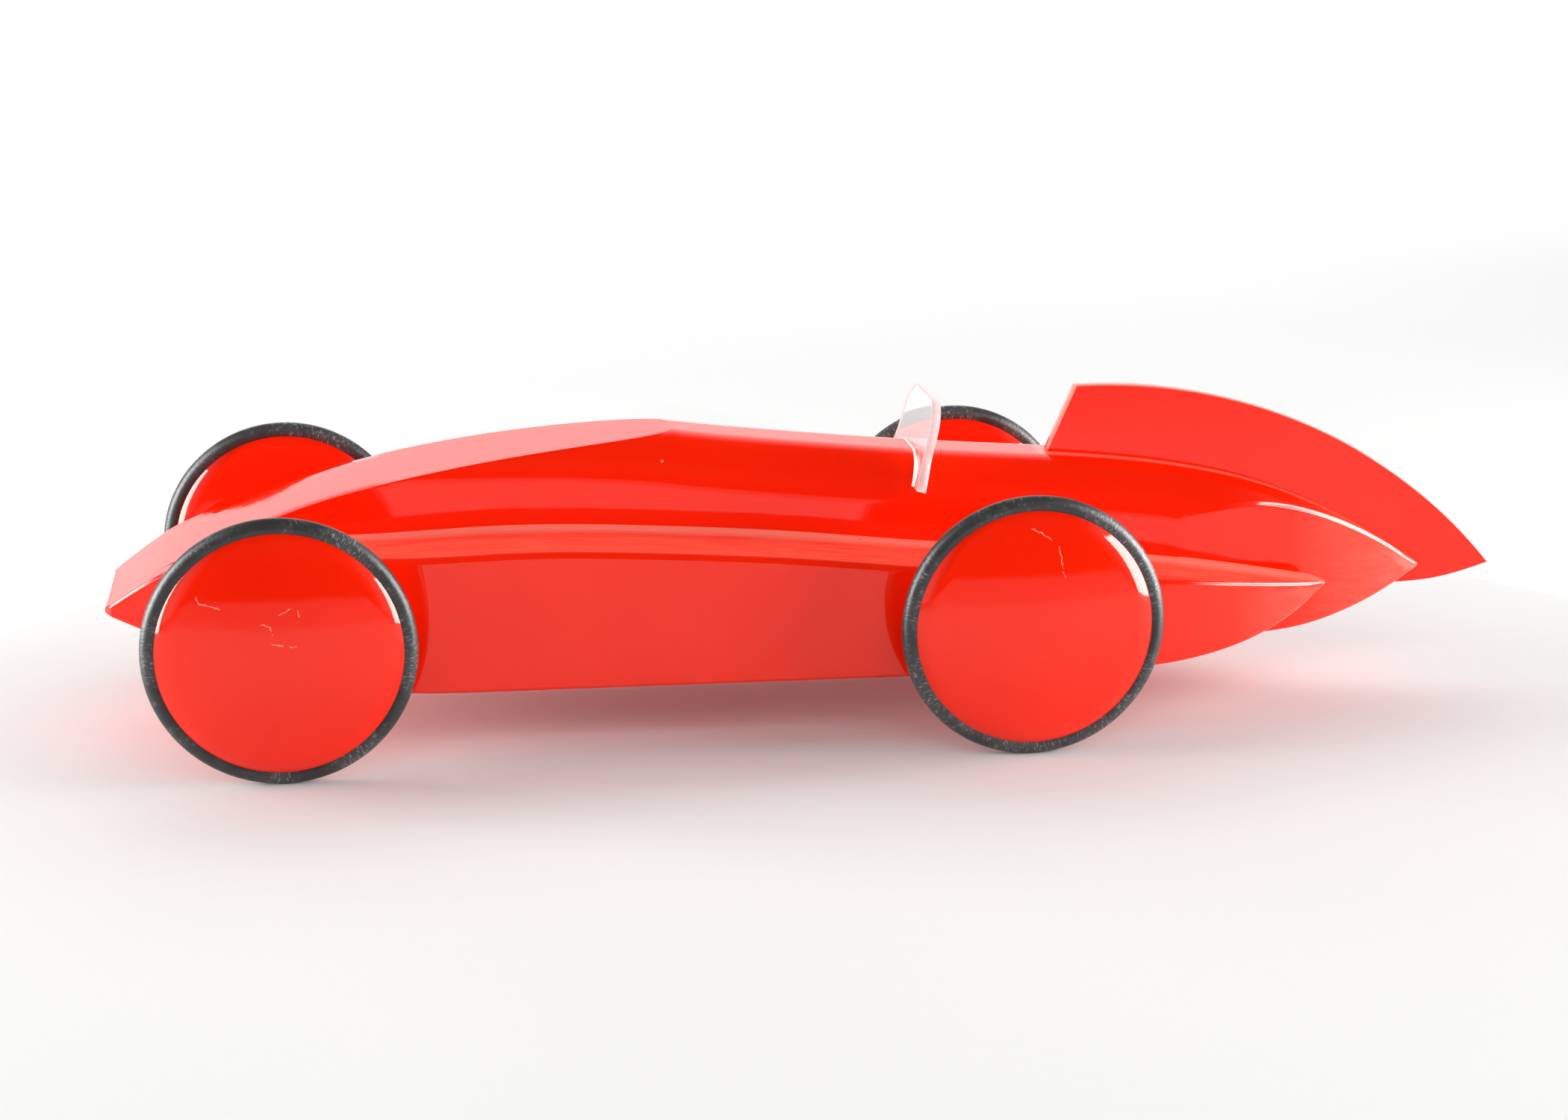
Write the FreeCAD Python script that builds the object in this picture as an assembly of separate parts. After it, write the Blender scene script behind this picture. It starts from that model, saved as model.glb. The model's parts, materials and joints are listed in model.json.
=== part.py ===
import FreeCAD, Part
import math
import os

# Wooden pull back racing car: three glued slabs of wood, a tail fin and a clear windscreen, on
# two steel axles with domed discs and rubber ring tyres.  A spring motor drives the rear axle.
#
# Millimetres.  +X points to the tail, +Z up, and the nose points to -X, so the car's left side
# is -Y.  The sub-parts are drawn with x = 0 at the front axle and z = 0 on the ground; save()
# moves them so that the origin lies on the ground below the middle of the overall length.

V = FreeCAD.Vector
Y_DIR = V(0, 1, 0)
Z_DIR = V(0, 0, 1)
SIDES = (("left", -1), ("right", 1))

# Running gear
TYRE_OD = 56.0
TYRE_CORD = 4.0
WHEEL_BASE = 156.0
TRACK = 91.0
AXLE_D = 3.0
AXLE_Z = TYRE_OD / 2
DISC_T = 12.0
DOME_R = 96.0
DOME_EDGE_R = 21.5
LIP_R = 8.7
HUB_R = 5.0
HUB_Y = TRACK / 2 - DISC_T / 2
AXLE_LENGTH = 96.0
AXLE_CHAMFER = 0.3
RUNNING_GAP = 0.05
BUSH_D = 6.0
BUSH_Y0 = 12.0
BUSH_Y1 = 28.4
SPACER_D = 7.0
SPACER_GAP = 0.3

# Wooden body
FUSELAGE_HALF = 15.0
ROUND_OVER = 11.0
NOSE_X = -36.8
NOSE_Z = 30.2
NOSE_LIP = 1.2
BELLY_Z = 14.4
POD_HALF = 35.0
FUSELAGE_TAIL_X = 255.0
POD_TAIL_X = 229.0
FIN_T = 3.2
FIN_TIP = (272.0, 26.5)
SCREEN_T = 2.0
SCREEN_X = 135.8
SCREEN_FOOT_Z = 51.0
SCREEN_LEAN = 14.5
DOWEL_D = 8.0
DOWEL_LENGTH = 50.0
DOWEL_X = (52.0, 98.0, 190.0)
DOWEL_Z = 27.0

# Spring motor
MODULE = 0.5
PINION_TEETH = 14
WHEEL_TEETH = 30
SMALL_TEETH = 12
BARREL_TEETH = 34
REAR_X = WHEEL_BASE
COUNTER_X = REAR_X - MODULE * (PINION_TEETH + WHEEL_TEETH) / 2
BARREL_X = COUNTER_X - MODULE * (SMALL_TEETH + BARREL_TEETH) / 2
CASE_X0 = 122.5
CASE_X1 = 163.4
CASE_HALF = 11.0
CASE_WALL = 1.4
CASE_Z0 = BELLY_Z + 0.5
CASE_Z1 = 2 * AXLE_Z - CASE_Z0
LUG_LENGTH = 9.0
LUG_HALF = 8.0
LUG_T = 2.0
POCKET_GAP = 0.6
PIN_D = 1.5
ARBOR_D = 2.4
PINION_Y = (1.5, 5.5)
WHEEL_Y = (2.0, 5.0)
SMALL_Y = (-5.4, 2.0)
BARREL_Y = (-9.0, -2.0)
BARREL_TEETH_Y0 = -5.0
BARREL_CUP_R = 7.6
BARREL_FLOOR = 1.2
LID_T = 0.6
SPRING_R = 6.7
SPRING_Y = (-8.2, -3.6)
SPRING_STRIP = 0.25
SPRING_TURNS = 6
PILLAR_R = 2.0
CASE_SCREW_D = 1.8
CASE_SCREW_LENGTH = 17.0
SCREW_D = 2.2
SCREW_LENGTH = 11.0
SCREW_SPACING = 9.0
SLOT_WIDTH = 0.5
SLOT_DEPTH = 0.5

# Side-view outlines as (station, height): two points make a line, more make a smooth curve
CHIN = [(NOSE_X, NOSE_Z - NOSE_LIP), (-30, 26.3), (-20, 22.3), (-5, 17.7), (10, 15.2), (24, BELLY_Z)]
CROWN = [(-45, 65.8), (20, 65.8), (58, 65.3), (76, 64.1), (92, 62.1), (110, 60.1), (137, 57.5),
         (168, 55.2), (185, 53.6), (202, 50.9), (216, 47.3), (230, 41.7), (245, 33.6),
         (FUSELAGE_TAIL_X, 27.0), (264, 21.0)]
NOSE_CUT = [(NOSE_X, NOSE_Z), (-24, 38.6), (-10, 44.9), (6, 50.9), (24, 55.5), (45, 59.2),
            (70, 62.0), (96, 64.0)]
POD_TOP = [(-45, 43.8), (-16, 43.6), (2, 43.4), (18, 43.4), (32, 43.9), (48, 44.4), (82, 43.2),
           (107, 41.4), (133, 38.7), (187, 33.6), (210, 30.3), (POD_TAIL_X, 26.9)]
FUSELAGE_BELLY = [(205, BELLY_Z), (216, 14.5), (226, 15.2), (236, 17.6), (246, 21.6),
                  (FUSELAGE_TAIL_X, 26.4)]
POD_BELLY = [(165, BELLY_Z), (186, 14.6), (200, 16.0), (212, 18.6), (221, 22.0),
             (POD_TAIL_X, 26.4)]
FIN_FOOT = (168.0, 55.2)
FIN_CREST = (174.3, 69.8)
FIN_BACK = (224.0, 61.2)
FIN_ROOT = [FIN_TIP, (264.5, 24.2), (257.0, 22.8), (250.0, 22.4)]
FIN_SEAT = [(238.0, 24.5), (168.0, 46.0)]

# Plan outlines as (station, distance from the middle)
FUSELAGE_PLAN = [(195, FUSELAGE_HALF), (206, 13.7), (216, 11.6), (226, 9.5), (236, 7.5),
                 (246, 5.3), (FUSELAGE_TAIL_X, 2.8)]
POD_NOSE = (-35.4, 17.2)
POD_SHOULDER = ((22.0, 32.8), (29.0, 34.3), (38.0, POD_HALF))
POD_BOAT_TAIL = ((175.0, POD_HALF), (206.6, 28.2), (POD_TAIL_X, 15.4))

# Windscreen outline before it leans, as (distance from the middle, height)
SCREEN_HALF = [(18.5, SCREEN_FOOT_Z), (17.4, 54.0), (15.7, 58.0), (15.25, 62.0), (14.4, 65.5),
               (9.3, 69.6)]

# Larger than any height on the car, for cutting shapes
ABOVE = 90.0
ORIGIN_X = (NOSE_X + FIN_TIP[0]) / 2


def side_view(x, z):
    return V(x, 0, z)


def plan_view(x, y):
    return V(x, y, 0)


def face(stretches, view):
    """Flat face inside a chain of stretches, each a line or a smooth curve."""
    edges = []
    for points in stretches:
        ends = [view(*p) for p in points]
        if len(ends) == 2:
            edges.append(Part.LineSegment(*ends).toShape())
        else:
            curve = Part.BSplineCurve()
            curve.interpolate(ends)
            edges.append(curve.toShape())
    return Part.Face(Part.Wire(edges))


def slab(flat, y0, y1):
    """Side-view face made into a slab from y0 to y1."""
    low = flat.copy()
    low.translate(V(0, y0, 0))
    return low.extrude(V(0, y1 - y0, 0))


def rod(radius, x, z, y0, y1):
    """Round bar along Y."""
    return Part.makeCylinder(radius, y1 - y0, V(x, y0, z), Y_DIR)


def tube(r_out, r_in, x, z, y0, y1):
    return rod(r_out, x, z, y0, y1).cut(rod(r_in, x, z, y0, y1))


def block(x0, x1, y0, y1, z0, z1):
    return Part.makeBox(x1 - x0, y1 - y0, z1 - z0, V(x0, y0, z0))


def mirrored(shape):
    return shape.mirror(V(0, 0, 0), Y_DIR)


def on_side(shape, side):
    """A piece drawn on the right, or its mirror image on the left."""
    return shape if side > 0 else mirrored(shape)


def group(shapes):
    return Part.makeCompound(shapes)


# ---------------------------------------------------------------- wooden body

def motor_pocket():
    """Space for the motor case and its two lugs, open to the underside."""
    gap = POCKET_GAP
    case = block(CASE_X0 - gap, CASE_X1 + gap, -CASE_HALF - gap, CASE_HALF + gap,
                 0, CASE_Z1 + gap)
    lug_top = CASE_Z0 + LUG_T
    lugs = block(CASE_X0 - LUG_LENGTH - gap, CASE_X1 + LUG_LENGTH + gap,
                 -LUG_HALF - gap, LUG_HALF + gap, 0, lug_top)
    return case.fuse(lugs)


def fin_outline():
    """Tail fin: leaning front edge, round back, and a root that sinks into the fuselage."""
    back = Part.Arc(side_view(*FIN_CREST), side_view(*FIN_BACK), side_view(*FIN_TIP))
    root = Part.BSplineCurve()
    root.interpolate([side_view(*p) for p in FIN_ROOT])
    edges = [back.toShape(), root.toShape()]
    corners = [FIN_ROOT[-1]] + FIN_SEAT + [FIN_FOOT, FIN_CREST]
    for a, b in zip(corners, corners[1:]):
        edges.append(Part.LineSegment(side_view(*a), side_view(*b)).toShape())
    return Part.Face(Part.Wire(edges))


def screen_plate(outline):
    """A plate in the YZ plane, leaned back about its foot."""
    wire = Part.makePolygon([V(0, y, z) for y, z in outline + outline[:1]])
    plate = Part.Face(wire).extrude(V(SCREEN_T, 0, 0))
    plate.rotate(V(0, 0, SCREEN_FOOT_Z), Y_DIR, SCREEN_LEAN)
    plate.translate(V(SCREEN_X, 0, 0))
    return plate


def windscreen():
    """Flat clear plate with flared sides, standing in a saw cut."""
    return screen_plate(SCREEN_HALF + [(-y, z) for y, z in reversed(SCREEN_HALF)])


def screen_slot():
    """Saw cut through the whole width of the fuselage."""
    wide = FUSELAGE_HALF + 1
    return screen_plate([(-wide, SCREEN_FOOT_Z), (wide, SCREEN_FOOT_Z), (wide, ABOVE),
                         (-wide, ABOVE)])


def screw_places():
    """Stations and offsets of the four wood screws that hold the motor's lugs."""
    middle = LUG_LENGTH / 2
    offset = SCREW_SPACING / 2
    return [(x, y) for x in (CASE_X0 - middle, CASE_X1 + middle) for y in (-offset, offset)]


def rounded_crown():
    """Slab under the crown line, rounded over along both top edges."""
    front, back = CROWN[0][0], CROWN[-1][0]
    below = -10
    flat = face([CROWN, [CROWN[-1], (back, below)], [(back, below), (front, below)],
                 [(front, below), CROWN[0]]], side_view)
    shape = slab(flat, -FUSELAGE_HALF, FUSELAGE_HALF)
    top = [e for e in shape.Edges if e.Length > 200 and e.BoundBox.ZMin > 0]
    return shape.makeFillet(ROUND_OVER, top)


def fuselage_profile():
    """Side view: chin, flat belly, rising tail and the curved cut over the nose."""
    end = (FUSELAGE_TAIL_X, ABOVE)
    cut_end = (NOSE_CUT[-1][0], ABOVE)
    return face([CHIN, [CHIN[-1], FUSELAGE_BELLY[0]], FUSELAGE_BELLY,
                 [FUSELAGE_BELLY[-1], end], [end, cut_end], [cut_end, NOSE_CUT[-1]],
                 NOSE_CUT[::-1], [NOSE_CUT[0], CHIN[0]]], side_view)


def fuselage_plan():
    """Plan view: parallel sides that taper to the tail."""
    far = [(x, -y) for x, y in FUSELAGE_PLAN]
    nose = (NOSE_X - 1, FUSELAGE_HALF)
    nose_far = (NOSE_X - 1, -FUSELAGE_HALF)
    return face([FUSELAGE_PLAN, [FUSELAGE_PLAN[-1], far[-1]], far[::-1],
                 [far[0], nose_far], [nose_far, nose], [nose, FUSELAGE_PLAN[0]]], plan_view)


def cross_holes(bush_end, y0, y1):
    """Drillings along Y through the wood: dowels, front bushes and the free rear axle."""
    holes = [rod(DOWEL_D / 2, x, DOWEL_Z, max(y0, -DOWEL_LENGTH / 2), min(y1, DOWEL_LENGTH / 2))
             for x in DOWEL_X]
    holes.append(rod(BUSH_D / 2, 0, AXLE_Z, y0, bush_end))
    holes.append(rod(AXLE_D / 2 + 1, REAR_X, AXLE_Z, y0, y1))
    return holes


def fuselage():
    """Middle slab: round-over along the top, curved nose cut, tapered tail."""
    shape = rounded_crown()
    shape = shape.common(slab(fuselage_profile(), -FUSELAGE_HALF, FUSELAGE_HALF))
    shape = shape.common(fuselage_plan().extrude(V(0, 0, ABOVE)))
    shape = shape.cut(slab(fin_outline(), -FIN_T / 2, FIN_T / 2))
    shape = shape.cut(screen_slot())
    shape = shape.cut(motor_pocket())
    holes = cross_holes(FUSELAGE_HALF, -FUSELAGE_HALF, FUSELAGE_HALF)
    for x, y in screw_places():
        holes.append(Part.makeCylinder(SCREW_D / 2, SCREW_LENGTH, V(x, y, CASE_Z0), Z_DIR))
    return shape.cut(holes)


def pod_profile():
    """Side view of a pod, left open above the nose for the nose cut."""
    top_start = (POD_TOP[0][0], 0)
    return face([POD_TOP, [POD_TOP[-1], POD_BELLY[-1]], POD_BELLY[::-1],
                 [POD_BELLY[0], CHIN[-1]], CHIN[::-1], [CHIN[0], top_start],
                 [top_start, POD_TOP[0]]], side_view)


def nose_waste():
    """Side view of the wood taken away above the nose cut."""
    cut_high = (NOSE_CUT[-1][0], ABOVE)
    corner = (NOSE_X - 20, ABOVE)
    below = (NOSE_X - 20, NOSE_Z)
    return face([NOSE_CUT, [NOSE_CUT[-1], cut_high], [cut_high, corner],
                 [corner, below], [below, NOSE_CUT[0]]], side_view)


def pod_plan():
    """Plan view: nose flare, round shoulder, parallel side and boat tail."""
    shoulder = [plan_view(*p) for p in POD_SHOULDER]
    boat_tail = [plan_view(*p) for p in POD_BOAT_TAIL]
    inner_nose = plan_view(NOSE_X, FUSELAGE_HALF)
    inner_tail = plan_view(POD_TAIL_X, FUSELAGE_HALF)
    edges = [Part.makePolygon([inner_tail, inner_nose, plan_view(*POD_NOSE), shoulder[0]]),
             Part.Arc(*shoulder).toShape(),
             Part.makePolygon([shoulder[-1], boat_tail[0]]),
             Part.Arc(*boat_tail).toShape(),
             Part.makePolygon([boat_tail[-1], inner_tail])]
    return Part.Face(Part.Wire(edges))


def side_pod(side):
    """Outer slab with a lower top line, flared from the nose and drawn in at the tail."""
    shape = slab(pod_profile(), FUSELAGE_HALF, POD_HALF + 1)
    shape = shape.cut(slab(nose_waste(), 0, POD_HALF + 2))
    shape = shape.common(pod_plan().extrude(V(0, 0, ABOVE)))
    return on_side(shape.cut(cross_holes(POD_HALF, 0, POD_HALF + 1)), side)


def tail_fin():
    """Thin plate let into the top of the tail."""
    return slab(fin_outline(), -FIN_T / 2, FIN_T / 2)


def pod_dowels():
    return group([rod(DOWEL_D / 2, x, DOWEL_Z, -DOWEL_LENGTH / 2, DOWEL_LENGTH / 2)
                  for x in DOWEL_X])


# ---------------------------------------------------------------- wheels and axles

def axle(x):
    """Steel rod with chamfered ends."""
    bar = rod(AXLE_D / 2, x, AXLE_Z, -AXLE_LENGTH / 2, AXLE_LENGTH / 2)
    return bar.makeChamfer(AXLE_CHAMFER, [e for e in bar.Edges if e.Closed])


def tyre(x, side):
    """Rubber ring of round section."""
    return Part.makeTorus((TYRE_OD - TYRE_CORD) / 2, TYRE_CORD / 2,
                          V(x, side * TRACK / 2, AXLE_Z), Y_DIR)


def disc_profile():
    """Half section of a disc: a shallow dome that runs smoothly into a rounder edge, which
    ends inside the tyre's cord."""
    half = DISC_T / 2
    rim_r = (TYRE_OD - TYRE_CORD) / 2
    tilt = math.asin(DOME_EDGE_R / DOME_R)
    dome_middle = V(0, half - DOME_R, 0)
    lip_middle = dome_middle + V(math.sin(tilt), math.cos(tilt), 0) * (DOME_R - LIP_R)
    last = math.asin((rim_r - lip_middle.x) / LIP_R)

    def on_arc(middle, radius, angle):
        return middle + V(math.sin(angle), math.cos(angle), 0) * radius

    edge = on_arc(dome_middle, DOME_R, tilt)
    rim = on_arc(lip_middle, LIP_R, last)
    dome = Part.Arc(V(0, half, 0), on_arc(dome_middle, DOME_R, tilt / 2), edge).toShape()
    lip = Part.Arc(edge, on_arc(lip_middle, LIP_R, (tilt + last) / 2), rim).toShape()
    rest = Part.makePolygon([rim, V(rim_r, 0, 0), V(0, 0, 0), V(0, half, 0)])
    return Part.Face(Part.Wire([dome, lip, rest]))


def wheel_disc(x, side):
    """Wooden disc domed on both faces, with a groove for the tyre, a blind bore, and a flat
    hub on the inner face that bears on the spacer."""
    half = disc_profile().revolve(V(0, 0, 0), Y_DIR, 360)
    disc = half.fuse(mirrored(half)).removeSplitter()
    disc.translate(V(x, side * TRACK / 2, AXLE_Z))
    hub = tube(HUB_R, AXLE_D / 2, x, AXLE_Z, HUB_Y, TRACK / 2)
    disc = disc.fuse(on_side(hub, side))
    disc = disc.cut(tyre(x, side))
    bore = rod(AXLE_D / 2, x, AXLE_Z, HUB_Y, AXLE_LENGTH / 2)
    return disc.cut(on_side(bore, side))


def front_bushes():
    """Brass sleeves pressed through the nose, where the front axle turns."""
    sleeve = tube(BUSH_D / 2, AXLE_D / 2 + RUNNING_GAP, 0, AXLE_Z, BUSH_Y0, BUSH_Y1)
    return group([sleeve, mirrored(sleeve)])


def spacers(x, y_body):
    """Sleeves on an axle that keep both discs off the body."""
    sleeve = tube(SPACER_D / 2, AXLE_D / 2, x, AXLE_Z, y_body + SPACER_GAP, HUB_Y)
    return group([sleeve, mirrored(sleeve)])


# ---------------------------------------------------------------- spring motor

def involute(base_r, angle):
    """Point on the involute of a circle, as radius and polar angle."""
    radius = base_r * math.sqrt(1 + angle * angle)
    return radius, angle - math.atan(angle)


def gear(teeth, y0, y1, x, turn):
    """Spur gear about the Y axis; the first tooth points turn degrees round from +X."""
    pressure = math.radians(20)
    pitch_r = MODULE * teeth / 2
    base_r = pitch_r * math.cos(pressure)
    tip_r = pitch_r + 0.85 * MODULE
    root_r = pitch_r - 1.15 * MODULE
    backlash = 0.05
    half_tooth = (math.pi * MODULE / 2 - backlash) / 2 / pitch_r
    at_pitch = math.tan(pressure) - pressure
    last = math.sqrt((tip_r / base_r) ** 2 - 1)
    first = math.sqrt(max((root_r / base_r) ** 2 - 1, 0))
    steps = 4
    flank = []
    for i in range(steps + 1):
        radius, polar = involute(base_r, first + (last - first) * i / steps)
        flank.append((radius, half_tooth + at_pitch - polar))

    def at(radius, angle):
        return V(radius * math.cos(angle), 0, radius * math.sin(angle))

    edges = []
    pitch = 2 * math.pi / teeth
    for k in range(teeth):
        mid = k * pitch + math.radians(turn)
        rise = [at(r, mid - a) for r, a in flank]
        fall = [at(r, mid + a) for r, a in reversed(flank)]
        foot_angle = flank[0][1]
        foot = at(root_r, mid - foot_angle)
        toe = at(root_r, mid + foot_angle)
        if (foot - rise[0]).Length > 1e-4:
            edges.append(Part.LineSegment(foot, rise[0]).toShape())
        side_curve = Part.BSplineCurve()
        side_curve.interpolate(rise)
        edges.append(side_curve.toShape())
        edges.append(Part.Arc(rise[-1], at(tip_r, mid), fall[0]).toShape())
        side_curve = Part.BSplineCurve()
        side_curve.interpolate(fall)
        edges.append(side_curve.toShape())
        if (toe - fall[-1]).Length > 1e-4:
            edges.append(Part.LineSegment(fall[-1], toe).toShape())
        edges.append(Part.Arc(toe, at(root_r, mid + pitch / 2),
                              at(root_r, mid + pitch - foot_angle)).toShape())
    blank = slab(Part.Face(Part.Wire(edges)), y0, y1)
    blank.translate(V(x, 0, AXLE_Z))
    return blank


def bore_through(radius, x):
    """Cylinder that drills right through anything inside the motor case."""
    return rod(radius, x, AXLE_Z, -CASE_HALF, CASE_HALF)


def axle_pinion():
    """Steel pinion pressed on the rear axle."""
    return gear(PINION_TEETH, *PINION_Y, REAR_X, 180).cut(bore_through(AXLE_D / 2, REAR_X))


def compound_gear():
    """Moulded wheel and small pinion in one, free on its pin."""
    wheel = gear(WHEEL_TEETH, *WHEEL_Y, COUNTER_X, 180 / WHEEL_TEETH)
    small = gear(SMALL_TEETH, *SMALL_Y, COUNTER_X, 180)
    return wheel.fuse(small).cut(bore_through(PIN_D / 2 + RUNNING_GAP, COUNTER_X))


def spring_barrel():
    """Toothed cup that the mainspring turns, free on the arbor."""
    mouth, floor = BARREL_Y
    ring = gear(BARREL_TEETH, BARREL_TEETH_Y0, floor, BARREL_X, 180 / BARREL_TEETH)
    cup = rod(BARREL_CUP_R, BARREL_X, AXLE_Z, mouth, floor)
    room = rod(SPRING_R, BARREL_X, AXLE_Z, mouth, floor - BARREL_FLOOR)
    return ring.fuse(cup).cut([room, bore_through(ARBOR_D / 2 + RUNNING_GAP, BARREL_X)])


def mainspring():
    """Coiled steel strip between the arbor and the barrel wall."""
    inner_r = ARBOR_D / 2 + SPRING_STRIP
    steps = 16
    clear = 0.02
    pitch = (SPRING_R - SPRING_STRIP - clear - inner_r) / SPRING_TURNS

    def coil(offset):
        points = []
        for i in range(SPRING_TURNS * steps + 1):
            angle = 2 * math.pi * i / steps
            radius = inner_r + offset + pitch * i / steps
            points.append(V(radius * math.cos(angle), 0, radius * math.sin(angle)))
        curve = Part.BSplineCurve()
        curve.interpolate(points)
        return curve.toShape(), points

    near, near_points = coil(0)
    off, off_points = coil(SPRING_STRIP)
    ends = [Part.LineSegment(near_points[i], off_points[i]).toShape() for i in (0, -1)]
    wire = Part.Wire([near, ends[1], off, ends[0]])
    spring = slab(Part.Face(wire), *SPRING_Y)
    spring.translate(V(BARREL_X, 0, AXLE_Z))
    return spring


def barrel_lid():
    """Thin plate that keeps the mainspring in the cup."""
    mouth = BARREL_Y[0]
    return tube(SPRING_R, ARBOR_D / 2 + RUNNING_GAP, BARREL_X, AXLE_Z, mouth, mouth + LID_T)


def pillar_places():
    inset = CASE_WALL + PILLAR_R - 0.2
    return [(x, z) for x in (CASE_X0 + inset, CASE_X1 - inset)
            for z in (CASE_Z0 + inset, CASE_Z1 - inset)]


def case_bosses(side):
    """Bosses inside a case half that keep the gears in place, as (station, radius, end)."""
    play = 0.3
    if side > 0:
        return [(COUNTER_X, 2.0, WHEEL_Y[1] + play), (BARREL_X, 2.4, BARREL_Y[1] + play),
                (REAR_X, 2.8, PINION_Y[1] + 0.5)]
    return [(COUNTER_X, 1.6, -SMALL_Y[0] + play), (REAR_X, 2.8, 3.0)]


def motor_case(side):
    """Half of the moulded case, with its bosses, pillars and half of each lug."""
    inner = CASE_HALF - CASE_WALL
    shell = block(CASE_X0, CASE_X1, 0, CASE_HALF, CASE_Z0, CASE_Z1)
    room = block(CASE_X0 + CASE_WALL, CASE_X1 - CASE_WALL, -1, inner,
                 CASE_Z0 + CASE_WALL, CASE_Z1 - CASE_WALL)
    parts = [block(x0, x0 + LUG_LENGTH, 0, LUG_HALF, CASE_Z0, CASE_Z0 + LUG_T)
             for x0 in (CASE_X0 - LUG_LENGTH, CASE_X1)]
    parts += [rod(radius, x, AXLE_Z, end, inner) for x, radius, end in case_bosses(side)]
    parts += [rod(PILLAR_R, x, z, 0, inner) for x, z in pillar_places()]
    half = on_side(shell.cut(room).fuse(parts), side)
    holes = [bore_through(PIN_D / 2, COUNTER_X), bore_through(ARBOR_D / 2, BARREL_X),
             bore_through(AXLE_D / 2 + RUNNING_GAP, REAR_X)]
    holes += case_screw_list()
    holes += mounting_screw_list()
    return half.cut(holes)


def countersunk_screw(diameter, length, place, direction):
    """Screw with a countersunk head whose flat top lies at place."""
    head_r = diameter
    head_h = head_r - diameter / 2
    shank = Part.makeCylinder(diameter / 2, length, V(0, 0, 0), Z_DIR)
    head = Part.makeCone(head_r, diameter / 2, head_h, V(0, 0, 0), Z_DIR)
    screw = shank.fuse(head)
    screw.Placement = FreeCAD.Placement(place, FreeCAD.Rotation(Z_DIR, direction))
    return screw


def case_screw_list():
    return [countersunk_screw(CASE_SCREW_D, CASE_SCREW_LENGTH, V(x, -CASE_HALF, z), Y_DIR)
            for x, z in pillar_places()]


def mounting_screw_list():
    return [countersunk_screw(SCREW_D, SCREW_LENGTH, V(x, y, CASE_Z0), Z_DIR)
            for x, y in screw_places()]


def with_slots(screws, along_y):
    """Screws with a driver slot cut across each head."""
    slotted = []
    for screw in screws:
        box = screw.BoundBox
        middle = box.Center
        half = SLOT_WIDTH / 2
        x0, x1 = box.XMin - 1, box.XMax + 1
        if along_y:
            slot = block(x0, x1, box.YMin, box.YMin + SLOT_DEPTH, middle.z - half,
                         middle.z + half)
        else:
            slot = block(x0, x1, middle.y - half, middle.y + half, box.ZMin,
                         box.ZMin + SLOT_DEPTH)
        slotted.append(screw.cut(slot))
    return group(slotted)


# ---------------------------------------------------------------- output

def save(name, shape):
    moved = shape.copy()
    moved.translate(V(-ORIGIN_X, 0, 0))
    solids = moved.Solids
    volume = sum(s.Volume for s in solids)
    print(name, len(solids), "solid(s)", round(volume, 1), "mm3", "valid", moved.isValid())
    moved = solids[0] if len(solids) == 1 else group(solids)
    moved.exportStep("parts/%s.step" % name)


def main():
    os.makedirs("parts", exist_ok=True)
    save("fuselage", fuselage())
    save("tail_fin", tail_fin())
    save("windscreen", windscreen())
    save("pod_dowels", pod_dowels())
    save("front_axle_bushes", front_bushes())
    for name, side in SIDES:
        save("side_pod_" + name, side_pod(side))
        save("motor_case_" + name, motor_case(side))
    save("motor_case_screws", with_slots(case_screw_list(), True))
    save("motor_mounting_screws", with_slots(mounting_screw_list(), False))
    save("gear_pin", bore_through(PIN_D / 2, COUNTER_X))
    save("spring_arbor", bore_through(ARBOR_D / 2, BARREL_X))
    for end, x, y_body in (("front", 0, BUSH_Y1), ("rear", REAR_X, POD_HALF)):
        save(end + "_axle", axle(x))
        save(end + "_axle_spacers", spacers(x, y_body))
        for name, side in SIDES:
            save("%s_wheel_%s" % (end, name), wheel_disc(x, side))
            save("%s_tyre_%s" % (end, name), tyre(x, side))
    save("axle_pinion", axle_pinion())
    save("compound_gear", compound_gear())
    save("spring_barrel", spring_barrel())
    save("mainspring", mainspring())
    save("barrel_lid", barrel_lid())


main()
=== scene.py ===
import json
import math

import bmesh
import bpy
import numpy as np
from mathutils import Matrix, Vector


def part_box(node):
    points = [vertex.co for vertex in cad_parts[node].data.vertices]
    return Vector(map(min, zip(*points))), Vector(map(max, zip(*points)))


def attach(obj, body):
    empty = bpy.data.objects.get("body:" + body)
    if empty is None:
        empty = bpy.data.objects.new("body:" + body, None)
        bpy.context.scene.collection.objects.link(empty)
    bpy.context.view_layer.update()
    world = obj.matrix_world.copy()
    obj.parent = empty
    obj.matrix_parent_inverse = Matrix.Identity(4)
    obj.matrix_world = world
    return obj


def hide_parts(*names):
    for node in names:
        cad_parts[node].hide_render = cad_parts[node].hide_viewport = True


# Lacquered wooden racing car.  The wooden pieces, tyres and windscreen are rebuilt here as fine
# meshes around the CAD frame; axles, motor and screws keep their CAD shape and get materials.
# Outlines are in millimetres, as stations behind the front axle and heights above the ground.

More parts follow.
